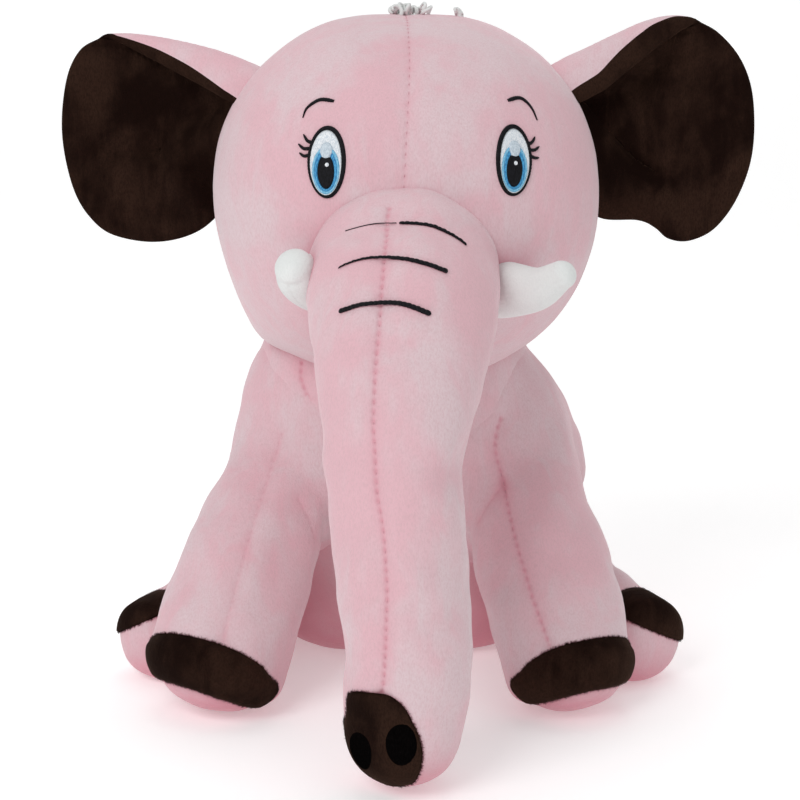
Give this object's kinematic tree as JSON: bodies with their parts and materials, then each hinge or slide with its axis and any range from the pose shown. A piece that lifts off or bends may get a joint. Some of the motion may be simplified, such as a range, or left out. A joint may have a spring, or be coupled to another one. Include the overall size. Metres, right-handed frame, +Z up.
{
  "type": "plush elephant",
  "caption": "Seated plush elephant with a round head, fan ears and a hanging trunk; soft toy whose sewn parts flex at their seams.",
  "frame": {"origin": "centre of the footprint of the bounding box, on the surface that the toy sits on", "axes": "+Z up, the face looks along -Y, the elephant's left side is at +X"},
  "size_m": [0.3442, 0.3384, 0.347],
  "materials": {
    "pink_plush": "short soft pile",
    "brown_plush": "short soft pile",
    "white_plush": "short soft pile",
    "black_thread": "satin stitch",
    "white_thread": "satin stitch",
    "blue_thread": "satin stitch",
    "polyester_fill": "loose fibre"
  },
  "bodies": {
    "torso": {"torso_skin": "pink_plush", "torso_stuffing": "polyester_fill"},
    "neck": {"neck_stuffing": "polyester_fill"},
    "head": {"head_skin_left": "pink_plush", "head_skin_right": "pink_plush", "head_stuffing": "polyester_fill", "hair_tuft": "white_plush", "tusk_left_skin": "white_plush", "tusk_left_stuffing": "polyester_fill", "tusk_right_skin": "white_plush", "tusk_right_stuffing": "polyester_fill", "eye_left_outline": "black_thread", "eye_left_white": "white_thread", "eye_left_iris": "blue_thread", "eye_left_pupil": "black_thread", "eye_left_glint": "white_thread", "eye_left_brow": "black_thread", "eye_right_outline": "black_thread", "eye_right_white": "white_thread", "eye_right_iris": "blue_thread", "eye_right_pupil": "black_thread", "eye_right_glint": "white_thread", "eye_right_brow": "black_thread"},
    "ear_left": {"ear_left_front_panel": "brown_plush", "ear_left_back_panel": "pink_plush", "ear_left_padding": "polyester_fill"},
    "ear_right": {"ear_right_front_panel": "brown_plush", "ear_right_back_panel": "pink_plush", "ear_right_padding": "polyester_fill"},
    "trunk_upper": {"trunk_upper_skin": "pink_plush", "trunk_upper_stuffing": "polyester_fill", "trunk_wrinkle_1": "black_thread", "trunk_wrinkle_2": "black_thread", "trunk_wrinkle_3": "black_thread"},
    "trunk_lower": {"trunk_lower_skin": "pink_plush", "trunk_lower_stuffing": "polyester_fill", "nose_patch": "brown_plush", "nostril_left": "black_thread", "nostril_right": "black_thread"},
    "front_leg_left": {"front_leg_left_skin": "pink_plush", "front_leg_left_stuffing": "polyester_fill", "front_leg_left_toe_panel": "brown_plush", "front_leg_left_sole": "pink_plush"},
    "front_leg_right": {"front_leg_right_skin": "pink_plush", "front_leg_right_stuffing": "polyester_fill", "front_leg_right_toe_panel": "brown_plush", "front_leg_right_sole": "pink_plush"},
    "hind_leg_left": {"hind_leg_left_skin": "pink_plush", "hind_leg_left_stuffing": "polyester_fill", "hind_leg_left_toe_panel": "brown_plush", "hind_leg_left_sole": "pink_plush"},
    "hind_leg_right": {"hind_leg_right_skin": "pink_plush", "hind_leg_right_stuffing": "polyester_fill", "hind_leg_right_toe_panel": "brown_plush", "hind_leg_right_sole": "pink_plush"},
    "tail": {"tail": "pink_plush"}
  },
  "joints": [
    {"name": "neck_turn", "type": "hinge", "parent": "torso", "child": "neck", "pos_m": [0, 0.003, 0.2515], "axis": [0, 0, 1], "range_deg": [-12, 12], "stiffness_Nm_per_rad": 1},
    {"name": "head_nod", "type": "hinge", "parent": "neck", "child": "head", "pos_m": [0, 0.003, 0.2515], "axis": [-1, 0, 0], "range_deg": [-8, 10], "stiffness_Nm_per_rad": 2},
    {"name": "trunk_lift", "type": "hinge", "parent": "head", "child": "trunk_upper", "pos_m": [0, -0.079, 0.222], "axis": [-1, 0, 0], "range_deg": [-5, 35], "stiffness_Nm_per_rad": 0.5},
    {"name": "trunk_curl", "type": "hinge", "parent": "trunk_upper", "child": "trunk_lower", "pos_m": [0, -0.137, 0.125], "axis": [-1, 0, 0], "range_deg": [-8, 25], "stiffness_Nm_per_rad": 0.3},
    {"name": "ear_left_swing", "type": "hinge", "parent": "head", "child": "ear_left", "pos_m": [0.0925, 0.018, 0.239], "axis": [0.167, 0, -0.986], "range_deg": [-20, 25], "stiffness_Nm_per_rad": 0.06},
    {"name": "ear_right_swing", "type": "hinge", "parent": "head", "child": "ear_right", "pos_m": [-0.0925, 0.018, 0.239], "axis": [0.167, 0, 0.986], "range_deg": [-20, 25], "stiffness_Nm_per_rad": 0.06},
    {"name": "front_leg_left_swing", "type": "hinge", "parent": "torso", "child": "front_leg_left", "pos_m": [0.051, 0.008, 0.135], "axis": [-1, 0, 0], "range_deg": [0, 25], "stiffness_Nm_per_rad": 0.6},
    {"name": "front_leg_right_swing", "type": "hinge", "parent": "torso", "child": "front_leg_right", "pos_m": [-0.056, 0.008, 0.135], "axis": [-1, 0, 0], "range_deg": [0, 25], "stiffness_Nm_per_rad": 0.6},
    {"name": "hind_leg_left_spread", "type": "hinge", "parent": "torso", "child": "hind_leg_left", "pos_m": [0.07, 0.085, 0.037], "axis": [0, 0, 1], "range_deg": [0, 18], "stiffness_Nm_per_rad": 0.6},
    {"name": "hind_leg_right_spread", "type": "hinge", "parent": "torso", "child": "hind_leg_right", "pos_m": [-0.07, 0.085, 0.037], "axis": [0, 0, -1], "range_deg": [0, 18], "stiffness_Nm_per_rad": 0.6},
    {"name": "tail_swing", "type": "hinge", "parent": "torso", "child": "tail", "pos_m": [0, 0.14, 0.08], "axis": [1, 0, 0], "range_deg": [-15, 30], "stiffness_Nm_per_rad": 0.02}
  ]
}
